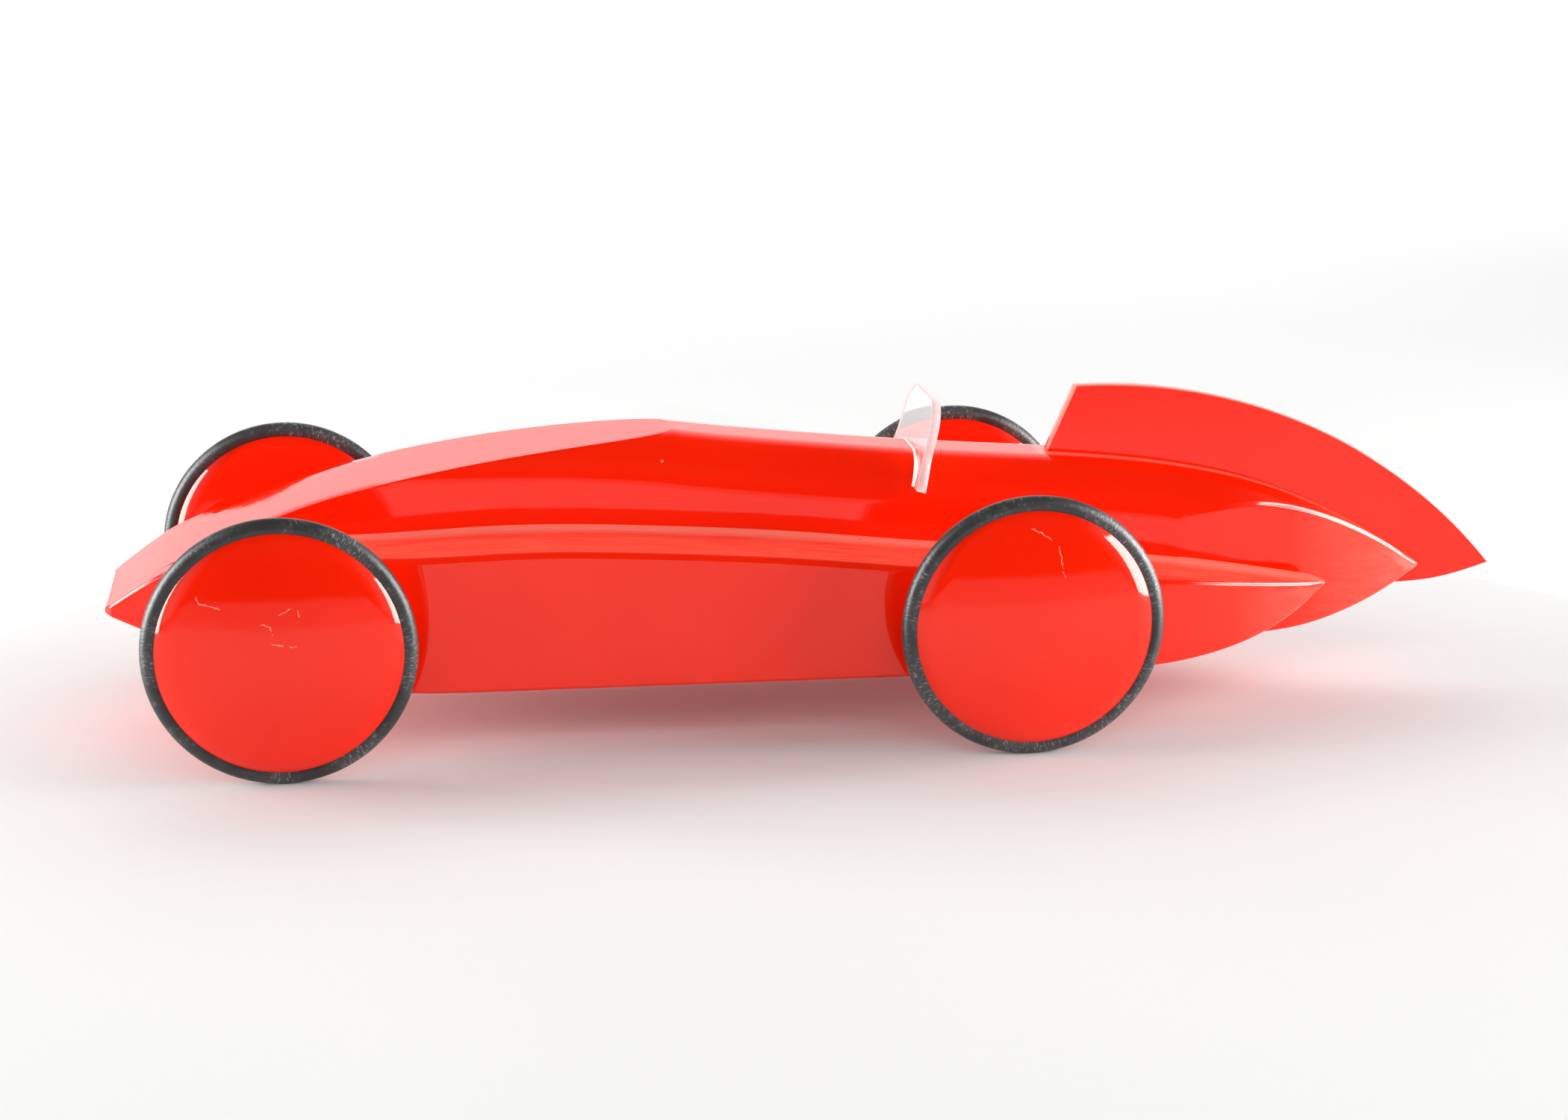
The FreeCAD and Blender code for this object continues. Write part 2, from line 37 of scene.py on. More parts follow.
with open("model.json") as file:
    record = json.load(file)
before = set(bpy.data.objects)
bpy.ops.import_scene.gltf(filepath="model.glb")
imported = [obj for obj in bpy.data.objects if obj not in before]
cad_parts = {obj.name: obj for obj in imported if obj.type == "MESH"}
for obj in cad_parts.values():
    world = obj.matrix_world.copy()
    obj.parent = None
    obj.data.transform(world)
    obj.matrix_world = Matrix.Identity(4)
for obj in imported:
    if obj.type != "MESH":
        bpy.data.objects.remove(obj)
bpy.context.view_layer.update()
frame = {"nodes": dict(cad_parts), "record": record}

MM = 0.001
FRONT_X = sum((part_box("front_axle")[i].x for i in (0, 1))) / 2
REAR_X = sum((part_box("rear_axle")[i].x for i in (0, 1))) / 2
AXLE_Z = sum((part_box("front_axle")[i].z for i in (0, 1))) / 2
TRACK_HALF = sum((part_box("front_tyre_right")[i].y for i in (0, 1))) / 2
TYRE_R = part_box("front_tyre_right")[1].z / 2
SIDES = (("left", -1), ("right", 1))

# ---------------------------------------------------------------- outlines of the wooden body

NOSE_X = -36.8
FUSELAGE_HALF = 15.0
ROUND_OVER = 11.0
BELLY_Z = 14.4
POD_HALF = 35.0
FUSELAGE_TAIL_X = 255.0
POD_TAIL_X = 229.0
FIN_T = 3.2
SCREEN_T = 2.05
POD_SWEEP_X = 165.0
TAPER_X = 195.0
CHIN = [(NOSE_X, 29.0), (-30, 26.3), (-20, 22.3), (-5, 17.7), (10, 15.2), (24, BELLY_Z)]
CROWN = [(-45, 65.8), (20, 65.8), (58, 65.3), (76, 64.1), (92, 62.1), (110, 60.1), (137, 57.5),
         (168, 55.2), (185, 53.6), (202, 50.9), (216, 47.3), (230, 41.7), (245, 33.6),
         (FUSELAGE_TAIL_X, 27.0), (264, 21.0)]
NOSE_CUT = [(NOSE_X, 30.2), (-24, 38.6), (-10, 44.9), (6, 50.9), (24, 55.5), (45, 59.2),
            (70, 62.0), (96, 64.0)]
POD_TOP = [(-45, 43.8), (-16, 43.6), (2, 43.4), (18, 43.4), (32, 43.9), (48, 44.4), (82, 43.2),
           (107, 41.4), (133, 38.7), (187, 33.6), (210, 30.3), (POD_TAIL_X, 26.9)]
FUSELAGE_BELLY = [(205, BELLY_Z), (216, 14.5), (226, 15.2), (236, 17.6), (246, 21.6),
                  (FUSELAGE_TAIL_X, 26.4)]
POD_BELLY = [(165, BELLY_Z), (186, 14.6), (200, 16.0), (212, 18.6), (221, 22.0),
             (POD_TAIL_X, 26.4)]
FUSELAGE_PLAN = [(195, FUSELAGE_HALF), (206, 13.7), (216, 11.6), (226, 9.5), (236, 7.5),
                 (246, 5.3), (FUSELAGE_TAIL_X, 2.8)]
POD_NOSE = [(NOSE_X, FUSELAGE_HALF), (-35.4, 17.2), (22.0, 32.8)]
POD_SHOULDER = [(22.0, 32.8), (29.0, 34.3), (38.0, POD_HALF)]
POD_BOAT_TAIL = [(175.0, POD_HALF), (206.6, 28.2), (POD_TAIL_X, 15.4)]
FIN_FOOT = (168.0, 55.2)
FIN_CREST = (174.3, 69.8)
FIN_BACK = [(174.3, 69.8), (224.0, 61.2), (272.0, 26.5)]
FIN_SUNK = [(238.0, 24.5), (168.0, 46.0)]
FIN_UNDER = [(272.0, 26.5), (264.5, 24.2), (257.0, 22.8), (250.0, 22.4)]
SCREEN_X = 135.8
SCREEN_FOOT_Z = 51.0
SCREEN_TOP_Z = 69.6
SCREEN_LEAN = math.radians(14.5)
SCREEN_SIDE = [(18.4, SCREEN_FOOT_Z), (17.4, 54.0), (15.7, 58.0), (15.2, 62.0), (14.4, 65.5)]
SCREEN_TOP_HALF = 9.3
SCREEN_CORNER = (12.3, 67.8)


def spline(points):
    """Height as a function of station: a natural cubic spline through the points."""
    xs, ys = (np.array(v, float) for v in zip(*points))
    n = len(xs)
    h = np.diff(xs)
    a = np.zeros((n, n))
    b = np.zeros(n)
    a[0, 0] = a[-1, -1] = 1
    for i in range(1, n - 1):
        a[i, i - 1:i + 2] = h[i - 1], 2 * (h[i - 1] + h[i]), h[i]
        b[i] = 6 * ((ys[i + 1] - ys[i]) / h[i] - (ys[i] - ys[i - 1]) / h[i - 1])
    m = np.linalg.solve(a, b)

    def value(x):
        i = min(max(int(np.searchsorted(xs, x)) - 1, 0), n - 2)
        u = x - xs[i]
        w = xs[i + 1] - x
        bend = (m[i] * w ** 3 + m[i + 1] * u ** 3) / (6 * h[i])
        return bend + (ys[i] / h[i] - m[i] * h[i] / 6) * w + (ys[i + 1] / h[i] - m[i + 1] * h[i] / 6) * u

    return value


def circle_through(p, q, r):
    """Centre and radius of the circle through three points."""
    (ax, ay), (bx, by), (cx, cy) = p, q, r
    d = 2 * (ax * (by - cy) + bx * (cy - ay) + cx * (ay - by))
    aa, bb, cc = ax * ax + ay * ay, bx * bx + by * by, cx * cx + cy * cy
    ux = (aa * (by - cy) + bb * (cy - ay) + cc * (ay - by)) / d
    uy = (aa * (cx - bx) + bb * (ax - cx) + cc * (bx - ax)) / d
    return ux, uy, math.hypot(ax - ux, ay - uy)


def arc_height(points):
    """Upper half of the circle through three points, as a function of station."""
    cx, cy, r = circle_through(*points)
    return lambda x: cy + math.sqrt(max(r * r - (x - cx) ** 2, 0))


crown = spline(CROWN)
cut_curve = spline(NOSE_CUT)
pod_top = spline(POD_TOP)
chin = spline(CHIN)
fuselage_rise = spline(FUSELAGE_BELLY)
pod_rise = spline(POD_BELLY)
fuselage_taper = spline(FUSELAGE_PLAN)
shoulder = spline(POD_SHOULDER)
boat_tail = arc_height(POD_BOAT_TAIL)


def nose_cut(x):
    """Height of the slanted cut, far above the wood behind its last station."""
    return cut_curve(x) if x < NOSE_CUT[-1][0] else 1e3


def belly(x, rise):
    if x < CHIN[-1][0]:
        return chin(x)
    return BELLY_Z if x < POD_SWEEP_X else rise(x)


def fuselage_half(x):
    return FUSELAGE_HALF if x < TAPER_X else fuselage_taper(x)


def pod_half(x):
    if x < POD_NOSE[-1][0]:
        return float(np.interp(x, *zip(*POD_NOSE)))
    if x < POD_SHOULDER[-1][0]:
        return shoulder(x)
    return POD_HALF if x < POD_BOAT_TAIL[0][0] else boat_tail(x)


# ---------------------------------------------------------------- mesh helpers

SHARP = math.radians(38)
WELD = 2e-6
STATION_STEP = 1.5
FUSELAGE_END_R = 0.45
POD_END_R = 0.35


def frame_point(x, y, z):
    """Millimetres from the front axle's station to metres in the frame."""
    return Vector((FRONT_X + x * MM, y * MM, z * MM))


def add_piece(name, mesh, body, material, replaced=()):
    """A finished mesh becomes a piece that rides on its body.  Its flat end faces, which have
    many corners, stay unsmoothed."""
    for polygon in mesh.polygons:
        polygon.use_smooth = len(polygon.vertices) < 5
    piece = bpy.data.objects.new(name, mesh)
    bpy.context.scene.collection.objects.link(piece)
    mesh.materials.append(material)
    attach(piece, body)
    if replaced:
        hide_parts(*replaced)
    return piece


def skin(name, rings, closed=True, caps=True):
    """Mesh over a row of rings that all have the same number of points."""
    bm = bmesh.new()
    rows = [[bm.verts.new(p) for p in ring] for ring in rings]
    count = len(rows[0])
    last = count if closed else count - 1
    for low, high in zip(rows, rows[1:]):
        for i in range(last):
            j = (i + 1) % count
            bm.faces.new((low[i], low[j], high[j], high[i]))
    if caps:
        bm.faces.new(rows[0][::-1])
        bm.faces.new(rows[-1])
    bmesh.ops.remove_doubles(bm, verts=bm.verts, dist=WELD)
    bmesh.ops.recalc_face_normals(bm, faces=bm.faces)
    for edge in bm.edges:
        edge.smooth = len(edge.link_faces) == 2 and edge.calc_face_angle() < SHARP
    mesh = bpy.data.meshes.new(name)
    bm.to_mesh(mesh)
    bm.free()
    return mesh


def paint_points(mesh, name, value):
    """Store a number from 0 to 1 at each vertex; value takes the vertex in millimetres."""
    layer = mesh.attributes.new(name, "FLOAT", "POINT")
    for vertex in mesh.vertices:
        x, y, z = ((vertex.co.x - FRONT_X) / MM, abs(vertex.co.y) / MM, vertex.co.z / MM)
        layer.data[vertex.index].value = min(max(value(x, y, z), 0.0), 1.0)


def path_lengths(points):
    p = np.array(points, float)
    return p, np.concatenate([[0], np.cumsum(np.hypot(*np.diff(p, axis=0).T))])


def corner_reach(at, radii):
    """How far each corner's rounding reaches, kept short of the corners beside it."""
    lengths = np.diff(at)
    reach = [0.0]
    for k, radius in enumerate(radii):
        before, after = lengths[k], lengths[k + 1:].sum()
        reach.append(min(radius, 0.48 * max(before, 1e-6), 0.48 * max(after, 1e-6)))
    return reach + [0.0]


def sample_places(at, reach, counts):
    """Distances along an outline: an even row on each stretch and three or four points on each
    half of a corner."""
    samples = []
    for k, count in enumerate(counts):
        half_way = (at[k + 1] - at[k]) / 2
        start = at[k] + min(reach[k], half_way)
        end = at[k + 1] - min(reach[k + 1], half_way)
        if k:
            samples += [at[k] + t * (start - at[k]) for t in (0.0, 0.25, 0.5, 0.75)]
        samples += list(np.linspace(start, end, count))
        if k < len(counts) - 1:
            samples += [end + t * (at[k + 1] - end) for t in (0.25, 0.5, 0.75)]
    return np.array(samples)


def section(stretches, radii, counts, mirror_ends=False):
    """One outline through stretches, its corners rounded, sampled with a fixed number of points.

    Each stretch is a short list of (y, z) points that starts where the last one ended.  The
    radius of a corner is how far its rounding reaches along the outline."""
    points = list(stretches[0])
    marks = [0]
    for stretch in stretches[1:]:
        marks.append(len(points) - 1)
        points += stretch[1:]
    marks.append(len(points) - 1)
    p, s = path_lengths(points)
    at = [s[m] for m in marks]
    total = s[-1]
    reach = corner_reach(at, radii)
    samples = sample_places(at, reach, counts)

    def where(t):
        t = np.asarray(t, float)
        sign = np.ones_like(t)
        if mirror_ends:
            sign = np.where((t < 0) | (t > total), -1.0, 1.0)
            t = np.where(t < 0, -t, np.where(t > total, 2 * total - t, t))
        t = np.clip(t, 0, total)
        return np.stack([sign * np.interp(t, s, p[:, 0]), np.interp(t, s, p[:, 1])], -1)

    window = np.zeros_like(samples)
    for corner, r in zip(at, reach):
        window = np.maximum(window, np.clip(r - np.abs(samples - corner), 0, None))
    kernel = np.linspace(-1, 1, 9)
    spread = where(samples[:, None] + window[:, None] * kernel[None, :])
    return spread.mean(1)


def line(a, b, n=2):
    return [(a[0] + (b[0] - a[0]) * i / (n - 1), a[1] + (b[1] - a[1]) * i / (n - 1)) for i in range(n)]


def stations(start, end, step, extra=()):
    """Stations from start to end about step apart, with the extra ones added."""
    count = max(2, int(round((end - start) / step)) + 1)
    values = set(round(float(v), 4) for v in np.linspace(start, end, count))
    return sorted(values | set(extra))


def end_insets(x, start, end, radius):
    """How far a section is drawn in, close to a rounded end."""
    near = min(x - start, end - x)
    if near >= radius:
        return 0.0
    return radius - math.sqrt(max(radius ** 2 - (radius - near) ** 2, 0))


# ---------------------------------------------------------------- wooden body

def fuselage_section(x):
    """Half section from the middle of the underside to the middle of the top."""
    inset = end_insets(x, NOSE_X, FUSELAGE_TAIL_X, FUSELAGE_END_R)
    half = fuselage_half(x) - inset
    low = belly(x, fuselage_rise) + inset
    top = crown(x) - inset
    cut = nose_cut(x) - inset
    arc_y = FUSELAGE_HALF - ROUND_OVER
    start = math.acos(min(1, (half - arc_y) / ROUND_OVER)) if half > arc_y else math.pi / 2
    sine = min((cut - top) / ROUND_OVER + 1, 1)
    end = math.asin(sine) if sine > 0 else 0.0
    end = max(start, end)
    side_top = min(cut, top - ROUND_OVER + ROUND_OVER * math.sin(start))
    arc = [(min(half, arc_y + ROUND_OVER * math.cos(a)),
            min(cut, top - ROUND_OVER + ROUND_OVER * math.sin(a)))
           for a in np.linspace(start, end, 24)]
    arc[0] = (half, side_top)
    stretches = [line((0, low), (half, low)), line((half, low), (half, side_top)), arc,
                 line(arc[-1], (0, arc[-1][1]))]
    facet = 0.45 * min(1.0, max(0.0, nose_cut(x) - pod_top(x)) / 2)
    crease = facet if x < TAPER_X else min(1.3, 0.9 + (x - TAPER_X) / 60)
    return section(stretches, (1.0, crease, facet), (4, 8, 22, 6), mirror_ends=True)


# Painted highlight on the fuselage's tail: where it starts and over what length it reaches full
# strength.
TIP_SHEEN_X = 222.0
TIP_SHEEN_LENGTH = 26.0
# Width of the painted highlight along the fin root, and how far it fades out.
ROOT_BAND = 3.4
ROOT_FADE = 2.0


def fuselage_tip_sheen(x, y, z):
    """Painted highlight that grows towards the tip of the tail, on a slightly rougher surface."""
    return max(0.0, (x - TIP_SHEEN_X) / TIP_SHEEN_LENGTH)


def fin_root_sheen_and_chips(x, y, z):
    """1 in a band along the root of the tail fin: a painted highlight, where bare chips also go."""
    if x < FIN_FOOT[0] - 2 or z < crown(x) - 3:
        return 0.0
    return 1 - max(0.0, y - ROOT_BAND) / ROOT_FADE


def fuselage_mesh():
    """Middle slab: both halves of its sections, closer together at the rounded ends."""
    near_ends = [NOSE_X + t for t in (0.05, 0.15, 0.3, FUSELAGE_END_R)]
    near_ends += [FUSELAGE_TAIL_X - t for t in (0.05, 0.15, 0.3, FUSELAGE_END_R)]
    rings = []
    for x in stations(NOSE_X, FUSELAGE_TAIL_X, STATION_STEP, near_ends):
        half = fuselage_section(x)
        ring = [frame_point(x, y, z) for y, z in half]
        ring += [frame_point(x, -y, z) for y, z in half[::-1]]
        rings.append(ring)
    mesh = skin("fuselage_shell", rings)
    # The "haze" layer on the fuselage is a painted highlight that grows towards the tail tip.
    paint_points(mesh, "haze", fuselage_tip_sheen)
    # The "seam" layer on the fuselage is a painted highlight along the fin root, with bare chips in it.
    paint_points(mesh, "seam", fin_root_sheen_and_chips)
    return mesh


BLEND = 6.0
BEAD_R = 1.1
POD_SUNK = 0.3
# Painted highlight on a pod's tail: where it starts and over what length it grows.
POD_TIP_SHEEN_X = 205.0
POD_TIP_SHEEN_LENGTH = 24.0
POD_EDGE = [(-28.0, 1.1), (4.0, 2.1), (170.0, 2.1), (200.0, 1.0)]


def pod_ledge(x):
    """Height of a pod's top face, which runs smoothly into the slanted cut of the nose."""
    top, cut = pod_top(x), nose_cut(x)
    return min(top, cut) - max(0.0, BLEND - abs(top - cut)) ** 2 / (4 * BLEND)


def pod_section(x):
    """Closed section of the right-hand pod, from the seam at the top round to the seam below."""
    inset = end_insets(x, NOSE_X, POD_TAIL_X, POD_END_R)
    low = belly(x, pod_rise) + inset
    ledge = pod_ledge(x) - inset
    half = max(pod_half(x) - inset, FUSELAGE_HALF + 0.05)
    room = min(nose_cut(x), crown(x) - ROUND_OVER) - ledge
    bead = max(0.0, min(BEAD_R, room, (half - FUSELAGE_HALF) * 0.4))
    seam = [(FUSELAGE_HALF + bead * (1 - math.sin(a)), ledge + bead * (1 - math.cos(a)))
            for a in np.linspace(math.pi / 2, 0, 7)]
    inner = FUSELAGE_HALF - POD_SUNK
    stretches = [[(inner, ledge + bead), (FUSELAGE_HALF, ledge + bead)] + seam[1:],
                 line(seam[-1], (half, ledge)), line((half, ledge), (half, low)),
                 line((half, low), (inner, low))]
    edge = float(np.interp(x, *zip(*POD_EDGE)))
    return section(stretches, (0.0, edge, 1.2), (9, 7, 8, 5))


def pod_seam_sheen_and_chips(x, y, z):
    """Painted highlight: 1 on the fillet of paint where the pod's top meets the fuselage, less along its
    edge. Bare chips also go on the fillet.
    """
    if nose_cut(x) - pod_top(x) < 1.0 or z < pod_ledge(x) - 0.5:
        return 0.0
    fillet = 1 - abs(y - FUSELAGE_HALF - 0.5) / 1.3
    # Painted highlight along the pod's outer top edge.
    edge = 0.55 - abs(y - pod_half(x) + 1.0) / 0.8
    return max(fillet, edge)


def pod_dust_and_sheen(x, y, z):
    """1 on the pod's top face, where hands and dust cloths have dulled it and a painted pale reflection
    lies on it; elsewhere a painted highlight that grows towards the pod's tail tip.
    """
    if z < pod_ledge(x) - 1.0 or nose_cut(x) - pod_top(x) < 0.5:
        # Painted highlight that grows towards the pod's tail tip.
        return max(0.0, (x - POD_TIP_SHEEN_X) / POD_TIP_SHEEN_LENGTH) * 0.8
    return 1 - max(0.0, y - pod_half(x) + 2.2) / 1.2


def pod_mesh(side):
    """One side slab; side is -1 for the left one and 1 for the right one."""
    near_ends = [NOSE_X + t for t in (0.05, 0.15, POD_END_R)] + [POD_NOSE[1][0]]
    near_ends += [POD_TAIL_X - t for t in (0.05, 0.15, POD_END_R)]
    rings = []
    for x in stations(NOSE_X, POD_TAIL_X, STATION_STEP, near_ends):
        rings.append([frame_point(x, side * y, z) for y, z in pod_section(x)])
    mesh = skin("pod_shell", rings)
    # The "seam" layer on a pod is a painted highlight on the fillet and the outer edge, with bare chips
    # on the fillet.
    paint_points(mesh, "seam", pod_seam_sheen_and_chips)
    # The "haze" layer on a pod is dust with a painted reflection on its top face, and a painted
    # highlight towards its tail tip.
    paint_points(mesh, "haze", pod_dust_and_sheen)
    return mesh


def inward_normals(pts):
    """Unit normals that point into a closed outline, and how far each corner's miter reaches."""
    forward = np.roll(pts, -1, 0) - pts
    backward = pts - np.roll(pts, 1, 0)
    tangent = forward / np.linalg.norm(forward, axis=1)[:, None]
    tangent += backward / np.linalg.norm(backward, axis=1)[:, None]
    length = np.linalg.norm(tangent, axis=1)[:, None]
    normal = np.stack([-tangent[:, 1], tangent[:, 0]], 1) / length
    area = 0.5 * np.sum(pts[:, 0] * np.roll(pts[:, 1], -1) - np.roll(pts[:, 0], -1) * pts[:, 1])
    return (normal if area > 0 else -normal), np.minimum(2.0 / length, 1.5)


def room_inside(pts, normal):
    """Distance from each corner, along its normal, to the far side of a closed outline."""
    start, step = pts, np.roll(pts, -1, 0) - pts
    room = np.full(len(pts), 1e3)
    for i, (p, n) in enumerate(zip(pts, normal)):
        cross = n[0] * step[:, 1] - n[1] * step[:, 0]
        cross[np.abs(cross) < 1e-9] = 1e-9
        gap = start - p
        along_ray = (gap[:, 0] * step[:, 1] - gap[:, 1] * step[:, 0]) / cross
        along_side = (gap[:, 0] * n[1] - gap[:, 1] * n[0]) / cross
        hit = (along_ray > 1e-6) & (along_side >= 0) & (along_side <= 1)
        hit[[i, i - 1]] = False
        if hit.any():
            room[i] = along_ray[hit].min()
    return room[:, None]


def plate_mesh(name, outline, thickness, edge, place):
    """Flat plate with rounded edges: the outline is a closed list of (a, b) in millimetres and
    place() puts (a, b, offset) into the frame."""
    pts = np.array(outline, float)
    normal, miter = inward_normals(pts)
    reach = np.minimum(edge, 0.3 * room_inside(pts, normal))
    rings = []
    for a in np.linspace(-math.pi / 2, math.pi / 2, 11):
        offset = math.copysign(thickness / 2 - edge * (1 - abs(math.sin(a))), a)
        moved = pts + normal * miter * reach * (1 - math.cos(a))
        rings.append([place(u, v, offset if abs(a) > 1e-6 else 0.0) for u, v in moved])
    return skin(name, rings)


def arc_points(points, n):
    """Points along the arc through three points, from the first to the last."""
    cx, cy, r = circle_through(*points)
    a0 = math.atan2(points[0][1] - cy, points[0][0] - cx)
    a1 = math.atan2(points[2][1] - cy, points[2][0] - cx)
    return [(cx + r * math.cos(a), cy + r * math.sin(a)) for a in np.linspace(a0, a1, n)]


FIN_EDGE = 0.35


def fin_edge_sheen_and_chips(x, y, z):
    """Painted highlight along the sloping front edge and the curved back, where bare chips also go."""
    (foot_x, foot_z), (crest_x, crest_z) = FIN_FOOT, FIN_CREST
    run, rise = crest_x - foot_x, crest_z - foot_z
    front_gap = abs((x - foot_x) * rise - (z - foot_z) * run) / math.hypot(run, rise)
    back_x, back_z, back_r = circle_through(*FIN_BACK)
    back_gap = abs(math.hypot(x - back_x, z - back_z) - back_r)
    if z < FIN_UNDER[-1][1] or y > FIN_T / 2 - 0.01:
        return 0.0
    if front_gap < FIN_EDGE and z > foot_z:
        return 1.0
    return 0.7 if back_gap < FIN_EDGE else 0.0


def fin_mesh():
    """Tail fin, its root sunk into the fuselage and its tip blunted."""
    under = spline(FIN_UNDER[::-1])
    outline = arc_points(FIN_BACK, 120)
    outline += [(x, under(x)) for x in np.linspace(271.8, 250.0, 24)]
    outline += line(FIN_UNDER[-1], FIN_SUNK[0], 6)[1:]
    outline += line(FIN_SUNK[0], FIN_SUNK[1], 20)[1:]
    outline += line(FIN_SUNK[1], FIN_FOOT, 6)[1:]
    outline += line(FIN_FOOT, FIN_CREST, 12)[1:-1]
    mesh = plate_mesh("fin_shell", outline, FIN_T, 0.3, lambda u, v, w: frame_point(u, w, v))
    # The "seam" layer on the fin is a painted highlight along its front edge and curved back, with bare
    # chips in it.
    paint_points(mesh, "seam", fin_edge_sheen_and_chips)
    return mesh


def screen_point(y, z, back):
    """A point of the windscreen, z along the upright plate and back from its front face."""
    rise = z - SCREEN_FOOT_Z
    return frame_point(SCREEN_X + back * math.cos(SCREEN_LEAN) + rise * math.sin(SCREEN_LEAN), y,
                       SCREEN_FOOT_Z + rise * math.cos(SCREEN_LEAN) - back * math.sin(SCREEN_LEAN))


def screen_mesh():
    """Windscreen plate, leaned back about the foot of its saw cut."""
    flank = spline([(z, y) for y, z in SCREEN_SIDE])
    side = [(flank(z), z) for z in np.linspace(SCREEN_FOOT_Z, SCREEN_SIDE[-1][1], 24)]
    corner = arc_points([side[-1], SCREEN_CORNER, (SCREEN_TOP_HALF, SCREEN_TOP_Z)], 9)[1:]
    top = line((SCREEN_TOP_HALF, SCREEN_TOP_Z), (-SCREEN_TOP_HALF, SCREEN_TOP_Z), 12)[1:-1]
    foot = line((-side[0][0], SCREEN_FOOT_Z), (side[0][0], SCREEN_FOOT_Z), 20)[1:-1]
    half = side + corner
    outline = half + top + [(-y, z) for y, z in half[::-1]] + foot
    return plate_mesh("screen_shell", outline, SCREEN_T, 0.15,
                      lambda y, z, w: screen_point(y, z, w + SCREEN_T / 2))


GLUE_LINE = 0.35
GLUE_WING = 1.8
WING_TOP_Z = 56.8


def glue_width(z):
    """How far the glue spreads along the plate: a thin line, wider over the wings."""
    below_top = min(1.0, max(0.0, (WING_TOP_Z - z) / 2.5))
    above_foot = min(1.0, 0.35 + (z - SCREEN_FOOT_Z) / 3.0)
    return GLUE_LINE + GLUE_WING * (below_top * above_foot)


def glue_mesh(front):
    """Bead of dried glue in the corner between one face of the windscreen and the wood, drawn
    out over the wings where the plate stands past the fuselage."""
    face = 0.0 if front else SCREEN_T
    away = -1 if front else 1
    top = crown(SCREEN_X + 1)
    arc_y = FUSELAGE_HALF - ROUND_OVER
    low = math.asin((SCREEN_FOOT_Z - top + ROUND_OVER) / ROUND_OVER)
    angles = np.linspace(low, math.pi / 2, 26)
    quarter = [(arc_y + ROUND_OVER * math.cos(a), a) for a in angles]
    path = [(y, a) for y, a in quarter] + [(y, math.pi / 2) for y in np.linspace(3.2, -3.2, 9)]
    path += [(-y, math.pi - a) for y, a in quarter[::-1]]
    rings = []
    for y, a in path:
        z = top - ROUND_OVER + ROUND_OVER * math.sin(a)
        spread = glue_width(z)
        ring = []
        for out, off in ((-0.4, -0.2), (spread, -0.2), (spread, 0.03), (spread * 0.5, 0.12),
                         (0.16, 0.3), (-0.4, 0.55)):
            ring.append(screen_point(y + out * math.cos(a), z + out * math.sin(a),
                                     face + away * off))
        rings.append(ring)
    return skin("glue_bead", rings)


# ---------------------------------------------------------------- wheels

DISC_HALF = 6.0
DOME_R = 96.0
DOME_EDGE_R = 21.5
LIP_R = 8.7
RIM_R = 26.0
CORD_R = 2.0
LATHE_STEPS = 192
TYRE_STEPS = (200, 28)


def disc_profile():
    """(radius, offset) from the middle of one face, over the dome and its rounder edge, down to
    the middle plane inside the tyre's cord."""
    tilt = math.asin(DOME_EDGE_R / DOME_R)
    face = [(DOME_R * math.sin(a), DISC_HALF - DOME_R * (1 - math.cos(a)))
            for a in np.linspace(0.02 * tilt, tilt, 30)]
    lip_r = face[-1][0] - LIP_R * math.sin(tilt)
    lip_w = face[-1][1] - LIP_R * math.cos(tilt)
    last = math.asin((RIM_R - lip_r) / LIP_R)
    face += [(lip_r + LIP_R * math.sin(a), lip_w + LIP_R * math.cos(a))
             for a in np.linspace(tilt, last, 15)[1:]]
    return face + [(RIM_R, 0.0)]


def wheel_mesh(x, side):
    """Domed disc, turned on a lathe: the same face on both sides."""
    half = disc_profile()
    profile = half + [(r, -w) for r, w in half[-2::-1]]
    rings = []
    for r, w in profile:
        ring = []
        for i in range(LATHE_STEPS):
            a = 2 * math.pi * i / LATHE_STEPS
            ring.append(Vector((x + r * MM * math.cos(a), side * (TRACK_HALF + w * MM),
                                AXLE_Z + r * MM * math.sin(a))))
        rings.append(ring)
    return skin("disc_shell", rings)


def tyre_mesh(x, side):
    """Round rubber ring, with a map that unrolls it: u along the ring, v round the cord."""
    around, cord = TYRE_STEPS
    ring_r = TYRE_R - CORD_R * MM
    verts = []
    for i in range(around):
        a = 2 * math.pi * i / around
        for j in range(cord):
            b = 2 * math.pi * j / cord
            r = ring_r + CORD_R * MM * math.cos(b)
            verts.append((x + r * math.cos(a), side * TRACK_HALF + CORD_R * MM * math.sin(b),
                          AXLE_Z + r * math.sin(a)))
    faces = []
    for i in range(around):
        for j in range(cord):
            k, m = (i + 1) % around, (j + 1) % cord
            faces.append((i * cord + j, i * cord + m, k * cord + m, k * cord + j))
    mesh = bpy.data.meshes.new("tyre_ring")
    mesh.from_pydata(verts, [], faces)
    layer = mesh.uv_layers.new(name="unrolled")
    for polygon, (i, j) in zip(mesh.polygons, [(i, j) for i in range(around) for j in range(cord)]):
        corners = ((i, j), (i, j + 1), (i + 1, j + 1), (i + 1, j))
        for loop, (u, v) in zip(polygon.loop_indices, corners):
            layer.data[loop].uv = (u / around, v / cord)
    mesh.validate()
    return mesh


# ---------------------------------------------------------------- materials

def new_material(name):
    material = bpy.data.materials.new(name)
    material.use_nodes = True
    return material, material.node_tree, material.node_tree.nodes["Principled BSDF"]


def node(tree, kind, inputs=(), **settings):
    made = tree.nodes.new(kind)
    for key, value in settings.items():
        setattr(made, key, value)
    for key, value in dict(inputs).items():
        if isinstance(value, bpy.types.NodeSocket):
            tree.links.new(value, made.inputs[key])
        else:
            made.inputs[key].default_value = value
    return made


